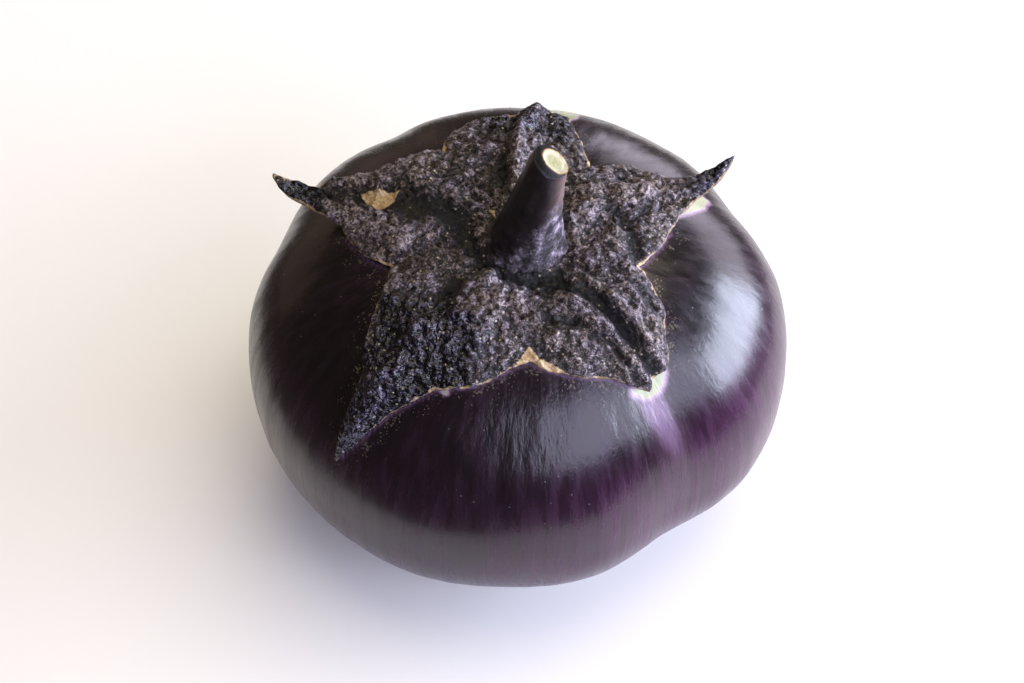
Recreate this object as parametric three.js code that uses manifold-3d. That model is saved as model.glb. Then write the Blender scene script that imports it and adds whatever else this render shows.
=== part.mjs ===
// A round eggplant as picked: the fruit, the dried calyx that caps it, and the cut stem.
//
// Millimetres, +Z up. The origin is the centre of the flat spot that the fruit rests on.
// Azimuths are degrees round the fruit's own axis seen from above: 0 is +X and 90 is +Y.
// Radii are measured out from that axis.

import * as THREE from 'three';
import { mergeVertices } from 'three/addons/utils/BufferGeometryUtils.js';
import Module from 'manifold-3d';

// Fruit: half sizes of its body, and the exponent that makes its meridians fuller than an ellipse
const HALF_WIDTH = 60;
const HALF_DEPTH = 55;
const BACK_SHIFT = 4;
const TOP_HEIGHT = 46.5;
const BOTTOM_HEIGHT = 37.5;
const FULLNESS = 2.4;

// Fruit: the hollow under the stem, the blossom scar opposite, and how the fruit stands
const STEM_HOLLOW = { depth: 4, radius: 15 };
const BLOSSOM_SCAR = { depth: 1.2, radius: 4.5 };
const LEAN = 5;
const FLAT_DEPTH = 0.9;

// Furrows that run down the fruit; a negative depth is a swelling, and spread is in degrees
const FURROWS = [
  { azimuth: 312.5, depth: 3.6, spread: 16 },
  { azimuth: 27, depth: 2.4, spread: 12 },
  { azimuth: 54, depth: 0.9, spread: 14 },
  { azimuth: 124, depth: 1.3, spread: 7 },
  { azimuth: 161, depth: 1.9, spread: 10 },
  { azimuth: 245, depth: -1.2, spread: 17 },
];
const FRUIT_COLUMNS = 72;
const FRUIT_ROWS = 17;

// Calyx: its clearance over the fruit, and its thickness at the middle and at the cut edge
const CALYX_GAP = 0.6;
const CALYX_MIDDLE = 2.4;
const CALYX_EDGE = 0.9;
const CALYX_THINNEST = 0.7;
const CALYX_ROWS = 14;
const CALYX_ROW_CROWDING = 0.7;
const CALYX_COLUMN_TURN = 5;
const CALYX_COLUMN_REACH = 3;

// The five lobes, each from its notch round to the next lobe's notch, as [azimuth, radius] of the
// torn edge. Past liftFrom a lobe leaves the fruit along the tangent and curls up, in 1/mm.
const LOBES = [
  {
    name: 'right',
    liftFrom: 30,
    curl: 0.038,
    edge: [
      [-16, 25.5], [-8, 27.5], [4, 31], [13, 35], [17, 40.5], [18.5, 46.5], [20.5, 48.5],
      [22.5, 43], [25.5, 40], [29, 37], [38, 33], [45, 28.5],
    ],
  },
  {
    name: 'back',
    liftFrom: 33,
    curl: 0.03,
    edge: [
      [51, 24], [55.5, 26], [61, 28.5], [68, 33.5], [73, 37.5], [80, 38.5], [83.5, 40],
      [87, 38], [94, 36.5], [108, 35.5], [118.5, 32],
    ],
  },
  {
    name: 'left',
    liftFrom: 34,
    curl: 0.0225,
    edge: [
      [124.5, 28], [127, 30.5], [132, 32], [142, 34], [149, 38], [152, 41.5], [153.5, 44.5],
      [158, 46.5], [159, 50.5], [160.5, 55.5], [162, 52.5], [164, 47.5], [166, 43], [170, 37.5],
      [178, 34.5], [188.5, 30],
    ],
  },
  {
    name: 'front left',
    liftFrom: 60,
    curl: 0,
    edge: [
      [194.5, 26.5], [203, 29], [207, 31.5], [214, 36.5], [220.5, 40.5], [223.5, 46.5],
      [225.5, 52], [228.5, 49.5], [233.5, 43.5], [238, 40], [243, 36.5], [256, 33.5], [266.5, 30],
    ],
  },
  {
    name: 'front right',
    liftFrom: 60,
    curl: 0,
    edge: [
      [274.5, 26.5], [278, 29], [290, 32.5], [302, 35], [308, 38], [311, 39.5], [314.5, 38.5],
      [317.5, 39], [321.5, 38.5], [326, 35.5], [332, 33.5], [336, 30.5],
    ],
  },
];

// Folds of the dried calyx along paths of [azimuth, radius]: ridges stand up, valleys are negative
const FOLDS = [
  { name: 'right crest', height: 1.6, width: 3, path: [[7, 11], [26, 19], [25.5, 33], [20.5, 47]] },
  { name: 'back crest', height: 2, width: 2.6, path: [[92, 12], [91, 24], [87, 32], [83.5, 40]] },
  { name: 'front-left crest', height: 1.7, width: 3, path: [[238, 22], [230, 28], [230, 37], [226, 51]] },
  { name: 'front-left hollow', height: -1.6, width: 2.4, path: [[226, 19], [230, 22]] },
  { name: 'front mound', height: 1.5, width: 4, path: [[243, 14], [258, 17], [250, 24]] },
  { name: 'tip groove', height: -1.6, width: 1.9, path: [[311, 17], [315, 22], [315, 38.5]] },
  { name: 'tip ridge right', height: 1.5, width: 1.8, path: [[321, 24], [320, 29], [317, 38]] },
  { name: 'tip ridge left', height: 1.1, width: 1.8, path: [[306, 19], [311, 28], [312, 38]] },
  { name: 'side groove', height: -0.9, width: 1.2, path: [[285, 21], [301, 24], [307, 31], [310, 38]] },
  { name: 'corner fold', height: 0.9, width: 1.3, path: [[326.5, 32], [320, 36]] },
  {
    name: 'stem valley',
    height: -1.7,
    width: 2.8,
    path: [[156, 29], [158, 16], [185, 11], [212, 10], [257, 10.5], [295, 12.5]],
  },
  { name: 'left flap', height: 1.4, width: 2.6, path: [[154, 44], [149, 37], [141, 31], [131, 28]] },
  { name: 'left valley', height: -1.3, width: 2.2, path: [[160.5, 50], [158, 36], [164, 22]] },
  { name: 'left lower fold', height: 1, width: 2.4, path: [[165, 42], [172, 32], [184, 24]] },
  { name: 'right notch fold', height: -1, width: 1.6, path: [[4, 23], [350, 24.5]] },
];
const CRUMPLE = 0.35;

// Stem: its foot on the calyx, its cut end, and its radius at the cut, gained by taper and by flare
const STEM_FOOT = new THREE.Vector2(2, -2.8);
const STEM_TOP = new THREE.Vector3(6.25, -2.8, 73.4);
const STEM_BOW = 0.85;
const STEM_CUT_RADIUS = 3.7;
const STEM_TAPER = 3.5;
const STEM_FLARE = 2.8;
const STEM_FLARE_TOWARD = 110;
const STEM_CUT_TILT = 39;
const STEM_SEAT_RIM = 2;
const STEM_GAP = 0.35;
const STEM_COLUMNS = 30;
const STEM_ROWS = 12;

const radians = THREE.MathUtils.degToRad;
const { smoothstep, lerp } = THREE.MathUtils;

// A bump of height 1 that fades to about a third at one spread from its middle
const bump = (distance, spread) => Math.exp(-((distance / spread) ** 2));

// Signed difference of two azimuths, within half a turn
const turn = (azimuth, from) => ((((azimuth - from) % 360) + 540) % 360) - 180;

const around = (azimuth, radius, z) =>
  new THREE.Vector3(radius * Math.cos(radians(azimuth)), radius * Math.sin(radians(azimuth)), z);

// Radius of the fruit's widest outline: an ellipse, moved back, with the furrows let in
function girth(azimuth) {
  const x = Math.cos(radians(azimuth)) / HALF_WIDTH;
  const y = Math.sin(radians(azimuth)) / HALF_DEPTH;
  const plain = 1 / Math.hypot(x, y) + BACK_SHIFT * Math.sin(radians(azimuth));
  return FURROWS.reduce((radius, furrow) =>
    radius - furrow.depth * bump(turn(azimuth, furrow.azimuth), furrow.spread), plain);
}

// Height of the fruit's upper skin over its widest level
function skinHeight(azimuth, radius) {
  const rest = Math.max(1 - (radius / girth(azimuth)) ** FULLNESS, 0);
  return TOP_HEIGHT * rest ** (1 / FULLNESS) - STEM_HOLLOW.depth * bump(radius, STEM_HOLLOW.radius);
}

// One closed body from a pole, rings that run anticlockwise seen from the first pole, and a pole.
// From the ring turnAt on, each quad is split along its other diagonal.
function closedBody(firstPole, rings, lastPole, turnAt = rings.length) {
  const count = rings[0].length;
  const points = [firstPole, ...rings.flat(), lastPole];
  const at = (ring, column) => 1 + ring * count + (column % count);
  const triangles = [];
  for (let column = 0; column < count; column++) {
    triangles.push(0, at(0, column), at(0, column + 1));
    triangles.push(points.length - 1, at(rings.length - 1, column + 1), at(rings.length - 1, column));
    for (let ring = 0; ring < rings.length - 1; ring++) {
      const [a, b] = [at(ring, column), at(ring, column + 1)];
      const [d, c] = [at(ring + 1, column), at(ring + 1, column + 1)];
      if (ring < turnAt) {
        triangles.push(a, d, c, a, c, b);
      } else {
        triangles.push(a, d, b, b, d, c);
      }
    }
  }
  const geometry = new THREE.BufferGeometry().setFromPoints(points);
  geometry.setIndex(triangles);
  return geometry;
}

// Fruit body in its own frame, with rows that lie evenly along each meridian
function fruitBody() {
  const rings = [];
  for (let row = 1; row < 2 * FRUIT_ROWS; row++) {
    const fromPole = 1 - Math.abs(row / FRUIT_ROWS - 1);
    const polar = (Math.PI / 2) * fromPole ** (FULLNESS / 2);
    const spread = Math.sin(polar) ** (2 / FULLNESS);
    const rise = Math.cos(polar) ** (2 / FULLNESS);
    const ring = [];
    for (let column = 0; column < FRUIT_COLUMNS; column++) {
      const azimuth = (360 * column) / FRUIT_COLUMNS;
      const radius = girth(azimuth) * spread;
      const z = row <= FRUIT_ROWS
        ? TOP_HEIGHT * rise - STEM_HOLLOW.depth * bump(radius, STEM_HOLLOW.radius)
        : BLOSSOM_SCAR.depth * bump(radius, BLOSSOM_SCAR.radius) - BOTTOM_HEIGHT * rise;
      ring.push(around(azimuth, radius, z));
    }
    rings.push(ring);
  }
  const top = new THREE.Vector3(0, 0, TOP_HEIGHT - STEM_HOLLOW.depth);
  const bottom = new THREE.Vector3(0, 0, BLOSSOM_SCAR.depth - BOTTOM_HEIGHT);
  return closedBody(top, rings, bottom);
}

// Middle layer of a lobe: on the skin, then off along the tangent with an upward curl
function lobePoint(lobe, azimuth, radius) {
  const hugging = Math.min(radius, lobe.liftFrom);
  const past = radius - hugging;
  const step = 0.05;
  const slope = (skinHeight(azimuth, hugging + step) - skinHeight(azimuth, hugging - step)) / (2 * step);
  return around(azimuth, radius, skinHeight(azimuth, hugging) + slope * past + lobe.curl * past ** 2);
}

// Outward direction of that layer
function lobeNormal(lobe, azimuth, radius) {
  const reach = Math.max(radius, 1);
  const out = lobePoint(lobe, azimuth, reach + 0.2).sub(lobePoint(lobe, azimuth, reach - 0.2));
  const round = lobePoint(lobe, azimuth + 0.5, reach).sub(lobePoint(lobe, azimuth - 0.5, reach));
  return out.cross(round).normalize();
}

// What the flare adds to the stem's foot at an angle round the stem, most of it toward the back
function footFlare(angle) {
  return STEM_FLARE * (0.5 + 0.5 * Math.cos(radians(angle - STEM_FLARE_TOWARD)));
}

// Distance in plan from a point to a path of [azimuth, radius] corners
function distanceToPath(x, y, path) {
  const corners = path.map(([azimuth, radius]) => around(azimuth, radius, 0));
  const point = new THREE.Vector3(x, y, 0);
  const nearest = new THREE.Vector3();
  let shortest = Infinity;
  for (let index = 1; index < corners.length; index++) {
    new THREE.Line3(corners[index - 1], corners[index]).closestPointToPoint(point, true, nearest);
    shortest = Math.min(shortest, nearest.distanceTo(point));
  }
  return shortest;
}

// Relief of the calyx: its folds and a fine crumple, both smoothed away under the stem's foot
function relief(x, y) {
  let height = CRUMPLE * (Math.sin(0.9 * x + 1.6 * Math.sin(0.45 * y)) + Math.sin(1.1 * y - 0.7 * x));
  for (const fold of FOLDS) {
    height += fold.height * bump(distanceToPath(x, y, fold.path), fold.width);
  }
  const fromFoot = new THREE.Vector2(x, y).sub(STEM_FOOT);
  const foot = STEM_CUT_RADIUS + STEM_TAPER + footFlare(THREE.MathUtils.radToDeg(fromFoot.angle()));
  return height * smoothstep(fromFoot.length() - foot, STEM_SEAT_RIM, STEM_SEAT_RIM + 2.5);
}

// Point on the calyx's upper face, where outward is 0 at the middle and 1 at the torn edge
function calyxTop(lobe, azimuth, radius, outward) {
  const point = lobePoint(lobe, azimuth, radius);
  const thickness = lerp(CALYX_EDGE, CALYX_MIDDLE, Math.sqrt(1 - outward ** 4));
  const raised = Math.max(thickness + relief(point.x, point.y) * (1 - 0.5 * outward ** 6), CALYX_THINNEST);
  return point.addScaledVector(lobeNormal(lobe, azimuth, radius), CALYX_GAP + raised);
}

// Point on the calyx's underside, which keeps its clearance over the skin
function calyxUnder(lobe, azimuth, radius) {
  return lobePoint(lobe, azimuth, radius).addScaledVector(lobeNormal(lobe, azimuth, radius), CALYX_GAP);
}

// Edge of the whole calyx as columns of lobe, azimuth and radius, with none far from the next
function calyxColumns() {
  const corners = LOBES.flatMap((lobe) => lobe.edge.map(([azimuth, radius]) => ({ lobe, azimuth, radius })));
  return corners.flatMap((corner, index) => {
    const next = corners[(index + 1) % corners.length];
    const gap = turn(next.azimuth, corner.azimuth);
    const reach = Math.abs(next.radius - corner.radius);
    const steps = Math.ceil(Math.max(gap / CALYX_COLUMN_TURN, reach / CALYX_COLUMN_REACH));
    return Array.from({ length: steps }, (_, step) => ({
      lobe: corner.lobe,
      azimuth: corner.azimuth + (gap * step) / steps,
      radius: lerp(corner.radius, next.radius, step / steps),
    }));
  });
}

function calyxBody() {
  const columns = calyxColumns();
  const upper = [];
  const under = [];
  for (let row = 1; row <= CALYX_ROWS; row++) {
    const outward = (row / CALYX_ROWS) ** CALYX_ROW_CROWDING;
    upper.push(columns.map((edge) => calyxTop(edge.lobe, edge.azimuth, edge.radius * outward, outward)));
    under.unshift(columns.map((edge) => calyxUnder(edge.lobe, edge.azimuth, edge.radius * outward)));
  }
  const middle = skinHeight(0, 0) + CALYX_GAP;
  const top = new THREE.Vector3(0, 0, middle + CALYX_MIDDLE);
  return closedBody(top, [...upper, ...under], new THREE.Vector3(0, 0, middle), upper.length);
}

// Height of the seat that the stem's foot lies on, a small gap over the calyx's smooth middle
function seatHeight(x, y) {
  const azimuth = THREE.MathUtils.radToDeg(Math.atan2(y, x));
  return skinHeight(azimuth, Math.hypot(x, y)) + CALYX_GAP + CALYX_MIDDLE + STEM_GAP;
}

// Centre line of the stem, from its foot at 0 to its cut at 1, bowed a little
function stemCentre(along) {
  const foot = new THREE.Vector3(STEM_FOOT.x, STEM_FOOT.y, seatHeight(STEM_FOOT.x, STEM_FOOT.y));
  const centre = foot.lerp(STEM_TOP, along);
  centre.x -= 4 * STEM_BOW * along * (1 - along);
  return centre;
}

// Point on the stem's side: it tapers to the cut, flares at the foot and settles on the seat
function stemPoint(angle, along) {
  const below = Math.max(1 - along, 0);
  const radius = STEM_CUT_RADIUS + STEM_TAPER * (1 - along) + footFlare(angle) * below ** 5;
  const point = stemCentre(along).add(around(angle, radius, 0));
  const settle = seatHeight(point.x, point.y) - stemCentre(0).z;
  point.z += settle * below ** 3;
  return point;
}

// How far along the stem the slanting cut crosses its side at this angle
function cutAlong(angle) {
  const facing = new THREE.Vector3(Math.sin(radians(STEM_CUT_TILT)), 0, Math.cos(radians(STEM_CUT_TILT)));
  let [low, high] = [0.6, 1.4];
  for (let pass = 0; pass < 30; pass++) {
    const middle = (low + high) / 2;
    const beyond = stemPoint(angle, middle).sub(STEM_TOP).dot(facing) > 0;
    [low, high] = beyond ? [low, middle] : [middle, high];
  }
  return low;
}

function stemBody() {
  const angles = Array.from({ length: STEM_COLUMNS }, (_, column) => (360 * column) / STEM_COLUMNS);
  const rings = [];
  for (let row = 0; row <= STEM_ROWS; row++) {
    const down = 1 - row / STEM_ROWS;
    rings.push(angles.map((angle) => stemPoint(angle, cutAlong(angle) * down)));
  }
  for (const inward of [0.7, 0.35]) {
    rings.push(angles.map((angle) => {
      const rim = stemPoint(angle, 0);
      const x = lerp(STEM_FOOT.x, rim.x, inward);
      const y = lerp(STEM_FOOT.y, rim.y, inward);
      return new THREE.Vector3(x, y, seatHeight(x, y));
    }));
  }
  return closedBody(STEM_TOP.clone(), rings, stemCentre(0));
}

// A three.js geometry as a solid, and a solid as a geometry
const wasm = await Module();
wasm.setup();

function toSolid(geometry) {
  const bare = geometry.clone();
  bare.deleteAttribute('normal');
  bare.deleteAttribute('uv');
  const merged = mergeVertices(bare);
  return new wasm.Manifold(new wasm.Mesh({
    numProp: 3,
    vertProperties: new Float32Array(merged.attributes.position.array),
    triVerts: new Uint32Array(merged.index.array),
  }));
}

function toGeometry(solid) {
  const mesh = solid.getMesh();
  const geometry = new THREE.BufferGeometry();
  geometry.setAttribute('position', new THREE.BufferAttribute(mesh.vertProperties, 3));
  geometry.setIndex(new THREE.BufferAttribute(mesh.triVerts, 1));
  return geometry;
}

// The standing fruit with its resting spot cut flat, and the place of that spot's centre
function standingFruit() {
  const fruit = fruitBody().rotateX(radians(LEAN));
  fruit.computeBoundingBox();
  const level = fruit.boundingBox.min.z + FLAT_DEPTH;
  const below = new THREE.BoxGeometry(4 * HALF_WIDTH, 4 * HALF_WIDTH, 2 * BOTTOM_HEIGHT);
  below.translate(0, 0, level - BOTTOM_HEIGHT);
  const geometry = toGeometry(toSolid(fruit).subtract(toSolid(below)));

  const spot = new THREE.Box3();
  const corner = new THREE.Vector3();
  geometry.computeBoundingBox();
  for (let index = 0; index < geometry.attributes.position.count; index++) {
    corner.fromBufferAttribute(geometry.attributes.position, index);
    if (corner.z - geometry.boundingBox.min.z < 1e-4) {
      spot.expandByPoint(corner);
    }
  }
  return { geometry, restingCentre: spot.getCenter(new THREE.Vector3()) };
}

function piece(name, geometry, color, roughness) {
  geometry.computeVertexNormals();
  const mesh = new THREE.Mesh(geometry, new THREE.MeshStandardMaterial({ color, roughness, metalness: 0 }));
  mesh.name = name;
  return mesh;
}

const { geometry: fruitGeometry, restingCentre } = standingFruit();
const eggplant = new THREE.Group();
eggplant.add(piece('fruit', fruitGeometry, 0x2b2129, 0.3));
eggplant.add(piece('calyx', calyxBody().rotateX(radians(LEAN)), 0x3d373c, 0.9));
eggplant.add(piece('stem', stemBody().rotateX(radians(LEAN)), 0x1e181c, 0.6));
eggplant.position.copy(restingCentre).negate();

export default eggplant;
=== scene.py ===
import math

import bmesh
import bpy
import numpy as np
from bpy.props import FloatProperty, FloatVectorProperty, IntProperty, PointerProperty
from mathutils import Matrix, Vector, kdtree, noise


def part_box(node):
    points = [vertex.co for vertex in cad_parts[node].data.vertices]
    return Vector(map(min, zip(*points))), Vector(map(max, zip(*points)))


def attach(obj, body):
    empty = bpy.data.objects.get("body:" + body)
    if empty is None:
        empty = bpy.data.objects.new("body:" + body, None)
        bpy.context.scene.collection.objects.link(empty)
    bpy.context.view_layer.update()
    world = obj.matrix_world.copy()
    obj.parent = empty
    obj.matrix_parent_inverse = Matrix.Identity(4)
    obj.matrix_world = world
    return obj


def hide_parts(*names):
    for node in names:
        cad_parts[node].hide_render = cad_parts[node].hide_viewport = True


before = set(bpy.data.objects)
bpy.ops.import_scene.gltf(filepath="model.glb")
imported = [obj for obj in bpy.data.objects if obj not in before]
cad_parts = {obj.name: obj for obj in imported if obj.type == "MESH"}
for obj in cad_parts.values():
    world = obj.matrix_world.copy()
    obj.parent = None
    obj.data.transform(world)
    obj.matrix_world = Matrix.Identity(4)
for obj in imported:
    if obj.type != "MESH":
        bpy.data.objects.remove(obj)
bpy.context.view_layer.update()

bl_info = {
    "name": "Round eggplant",
    "version": (1, 0, 0),
    "blender": (4, 5, 0),
    "location": "3D View > Sidebar > Eggplant",
    "description": "A round eggplant as picked: glossy fruit, dried felted calyx and cut stem",
    "category": "Add Mesh",
}

MM = 0.001

# Furrows that run down the fruit: azimuth, depth in mm and spread in degrees
FURROWS = [
    (312.5, 3.6, 16), (27, 2.4, 12), (54, 0.9, 14), (124, 1.3, 7), (161, 1.9, 10), (245, -1.2, 17),
]

# Torn edge of each calyx lobe, from its notch round to the next, as (azimuth, radius in mm), with
# the radius past which the lobe leaves the skin and the upward curl it has there, in 1/mm
LOBES = [
    {
        "name": "right", "lift_from": 30, "curl": 0.038,
        "edge": [
            (-16, 25.5), (-8, 27.5), (4, 31), (13, 35), (17, 40.5), (18.3, 46.5), (20.4, 49.6),
            (22.5, 43), (25.5, 40), (29, 37), (38, 33), (45, 28.5),
        ],
    },
    {
        "name": "back", "lift_from": 33, "curl": 0.03,
        "edge": [
            (51, 24), (55.5, 26), (61, 28.5), (68, 33.5), (73, 37.5), (80, 38.5), (83.5, 40),
            (87, 38), (94, 36.5), (108, 35.5), (118.5, 32),
        ],
    },
    {
        "name": "left", "lift_from": 34, "curl": 0.0225,
        "edge": [
            (124.5, 28), (127, 30.5), (132, 32), (142, 34), (149, 38), (152, 41.5), (153.5, 44.5),
            (157.6, 46.5), (158.7, 51.5), (159.8, 56), (161.5, 55.2), (163.2, 52.8), (164.2, 47.5),
            (166, 43), (170, 37.5), (178, 34.5), (188.5, 30),
        ],
    },
    {
        "name": "front left", "lift_from": 60, "curl": 0,
        "edge": [
            (194.5, 26.5), (203, 29), (207, 31.5), (214, 36.5), (220.5, 40.5), (223.5, 46.5),
            (225.5, 52), (228.5, 49.5), (233.5, 43.5), (238, 40), (243, 36.5), (256, 33.5), (266.5, 30),
        ],
    },
    {
        "name": "front right", "lift_from": 60, "curl": 0,
        "edge": [
            (274.5, 28.4), (278, 29.6), (290, 32.5), (302, 35), (308, 38), (311, 39.5), (314.5, 38.5),
            (317.5, 39), (321.5, 38.5), (326, 35.5), (332, 33.5), (336, 30.5),
        ],
    },
]

# Folds of the dried calyx: height and width in mm along a path of (azimuth, radius in mm)
FOLDS = [
    (1.6, 3, [(7, 11), (26, 19), (25.5, 33), (20.5, 47)]),
    (2, 2.6, [(92, 12), (91, 24), (87, 32), (83.5, 40)]),
    (1.7, 3, [(238, 22), (230, 28), (230, 37), (226, 51)]),
    (-1.6, 2.4, [(226, 19), (230, 22)]),
    (1.5, 4, [(243, 14), (258, 17), (250, 24)]),
    (-1.7, 1.9, [(290, 12), (308, 16), (315, 22), (315, 38.5)]),
    (1.5, 1.8, [(321, 24), (320, 29), (317, 38)]),
    (1.1, 1.8, [(306, 19), (311, 28), (312, 38)]),
    (-0.9, 1.2, [(285, 21), (301, 24), (307, 31), (310, 38)]),
    (0.9, 1.3, [(326.5, 32), (320, 36)]),
    (-1.7, 2.8, [(156, 29), (158, 16), (185, 11), (212, 10), (257, 10.5), (295, 12.5)]),
    (1.4, 2.6, [(154, 44), (149, 37), (141, 31), (131, 28)]),
    (-1.3, 2.2, [(160.5, 50), (158, 36), (164, 22)]),
    (1, 2.4, [(165, 42), (172, 32), (184, 24)]),
    (-1, 1.8, [(20, 20), (4, 23), (350, 24.5)]),
    (-1.2, 1.8, [(104, 14), (96, 24), (91, 36)]),
]

# Azimuths that the lobes point to
LOBE_MIDDLES = [20.5, 84, 160, 226, 314]

# Ends of the lobes that are bare black leather: azimuth and spread in degrees, and the radii in mm
# that they start at and are all bare from
LEATHERY_ENDS = [(234, 24, 18, 27), (18, 20, 36, 45), (86, 20, 22, 31), (160, 14, 40, 49)]

# Dry tan flaps and patches of the calyx: outlines of (azimuth, radius in mm) corners
TAN_FLAPS = [
    [(156.4, 35.7), (152.4, 27.2), (159.3, 27.9), (164.1, 30.2), (161.5, 32.5), (158.6, 34.4)],
    [(188.7, 29.7), (193.6, 26.3), (199.4, 28.1), (194.8, 27.9)],
    [(264.5, 31.5), (270, 28.6), (274.8, 25.8), (277.8, 28), (287, 31.2), (282, 32), (274.5, 29.5)],
    [(343.5, 24.8), (351.7, 27.4), (347.3, 27.2), (342.9, 27.2), (338, 29.5)],
    [(56.8, 26.9), (49.3, 24.7), (51.7, 23)],
    [(125.8, 30.8), (122.5, 28), (118.7, 32), (121.8, 32.5)],
    [(171.5, 37.8), (170.5, 36.4), (169.5, 38.4)],
    [(137, 6.8), (131, 9.6), (127, 8.4)],
]

# Skin that the shrinking calyx has laid bare, in the same way, with how far the pink round it goes
BARE_SKIN = [
    (1.8, [
        (319.6, 38), (319, 39.6), (317.2, 40.3), (315, 40.7), (311.6, 40.6), (309.2, 39.9),
        (307, 38.6), (312, 36),
    ]),
    (1.8, [
        (15.6, 34.6), (22.8, 37.2), (28.5, 40.6), (27.8, 43.6), (25.4, 45.6), (21.1, 42.4),
        (18, 38.3),
    ]),
    (1.4, [(83.5, 42), (82.5, 46.5), (78, 48.6), (73.5, 47.6), (72.6, 43.4), (75, 38.6), (82, 37.5)]),
    (0.5, [(246, 35.6), (247.5, 35.9), (247, 36.6), (245, 36.5)]),
]

# Lilac streak that runs down the fruit from the tip of the front right lobe: pale skin, and partly a
# painted highlight
LILAC_STREAK_AND_HIGHLIGHT = [(311, 41), (312, 46), (314.5, 51), (316, 55)]

# Pale face of the stem's cut: its centre from the middle of the top, and its radii
PALE_CENTRE = (1 * MM, 0.3 * MM)
PALE_RADII = (2.5 * MM, 2.75 * MM)

# Soft lights: azimuth and elevation in degrees, distance in metres, width and height in metres,
# the radiance that they show, and their colour
LIGHTS = {
    "window": (1, 9, 1.4, (1.4, 0.75), 18, "#dfe7ff"),
    "side_window": (52, 10, 1.6, (1.5, 0.6), 4.4, "#f2e8fb"),
    "front_window": (305, 20, 1.4, (1.35, 1.15), 5.6, "#dfe0ff"),
    "room": (55, 74, 1.6, (1.5, 1.5), 2.7, "#fff3da"),
    "warm_room": (132, 6, 1.6, (1.8, 0.7), 0.28, "#ffd2c4"),
}

# Height of the point that the soft lights face
LIT_HEIGHT = 40 * MM

# How deep the stem's foot is settled into the calyx
SETTLED = 0.8 * MM

# Distance, in metres, of points that are too far from the calyx's edge to be measured
FAR = 1.0


def linear(hex_colour):
    """An sRGB hex colour as linear red, green, blue and alpha."""
    channels = [int(hex_colour[start:start + 2], 16) / 255 for start in (1, 3, 5)]
    return [c / 12.92 if c <= 0.04045 else ((c + 0.055) / 1.055) ** 2.4 for c in channels] + [1.0]


class FruitSettings(bpy.types.PropertyGroup):
    """Sizes and colours of the fruit."""
    half_width: FloatProperty(
        name="Half width", description="Half the width before the furrows",
        default=60 * MM, unit="LENGTH")
    half_depth: FloatProperty(
        name="Half depth", description="Half the depth before the furrows",
        default=55 * MM, unit="LENGTH")
    back_shift: FloatProperty(
        name="Back shift", description="How far the body bulges backward",
        default=4 * MM, unit="LENGTH")
    top_height: FloatProperty(
        name="Top height", description="Height over the widest level",
        default=46.5 * MM, unit="LENGTH")
    bottom_height: FloatProperty(
        name="Bottom height", description="Depth under the widest level",
        default=37.5 * MM, unit="LENGTH")
    fullness: FloatProperty(
        name="Fullness", description="Exponent of the meridians: 2 is an ellipse", default=2.4)
    hollow_depth: FloatProperty(
        name="Hollow depth", description="Depth of the hollow under the stem",
        default=4 * MM, unit="LENGTH")
    hollow_radius: FloatProperty(
        name="Hollow radius", description="Spread of that hollow", default=15 * MM, unit="LENGTH")
    scar_depth: FloatProperty(
        name="Scar depth", description="Depth of the blossom scar", default=1.2 * MM, unit="LENGTH")
    scar_radius: FloatProperty(
        name="Scar radius", description="Spread of the blossom scar",
        default=4.5 * MM, unit="LENGTH")
    lean: FloatProperty(
        name="Lean", description="Angle by which the top leans to the front",
        default=math.radians(5), subtype="ANGLE")
    flush_colour: FloatVectorProperty(
        name="Flush colour", description="Purple of the flushed front and of the underside",
        size=4, default=linear("#4a2045"), subtype="COLOR")
    cork_colour: FloatVectorProperty(
        name="Cork colour", description="Brown of the blossom scar",
        size=4, default=linear("#7d6345"), subtype="COLOR")
    columns: IntProperty(name="Columns", description="Faces round the fruit", default=400)
    rows: IntProperty(name="Rows", description="Faces from top to bottom", default=200)


class CalyxSettings(bpy.types.PropertyGroup):
    """Sizes and colours of the calyx."""
    gap: FloatProperty(
        name="Gap", description="Clearance over the skin", default=0.55 * MM, unit="LENGTH")
    middle: FloatProperty(
        name="Middle thickness", description="Thickness round the stem",
        default=2.4 * MM, unit="LENGTH")
    edge: FloatProperty(
        name="Edge thickness", description="Thickness at the torn edge",
        default=0.7 * MM, unit="LENGTH")
    thinnest: FloatProperty(
        name="Thinnest", description="Least thickness in a valley", default=0.5 * MM, unit="LENGTH")
    wrinkle: FloatProperty(
        name="Wrinkle", description="Height of the wrinkles", default=1 * MM, unit="LENGTH")
    dust_colour: FloatVectorProperty(
        name="Dust colour", description="Straw colour of the specks in the felt",
        size=4, default=linear("#cabda3"), subtype="COLOR")
    sheen_colour: FloatVectorProperty(
        name="Sheen colour", description="Cool gleam of the hairs",
        size=4, default=linear("#aeb2e4"), subtype="COLOR")
    columns: IntProperty(name="Columns", description="Faces round the calyx", default=660)
    upper_rows: IntProperty(name="Upper rows", description="Faces from middle to edge", default=112)
    under_rows: IntProperty(name="Under rows", description="Faces from edge to middle below", default=32)


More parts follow.
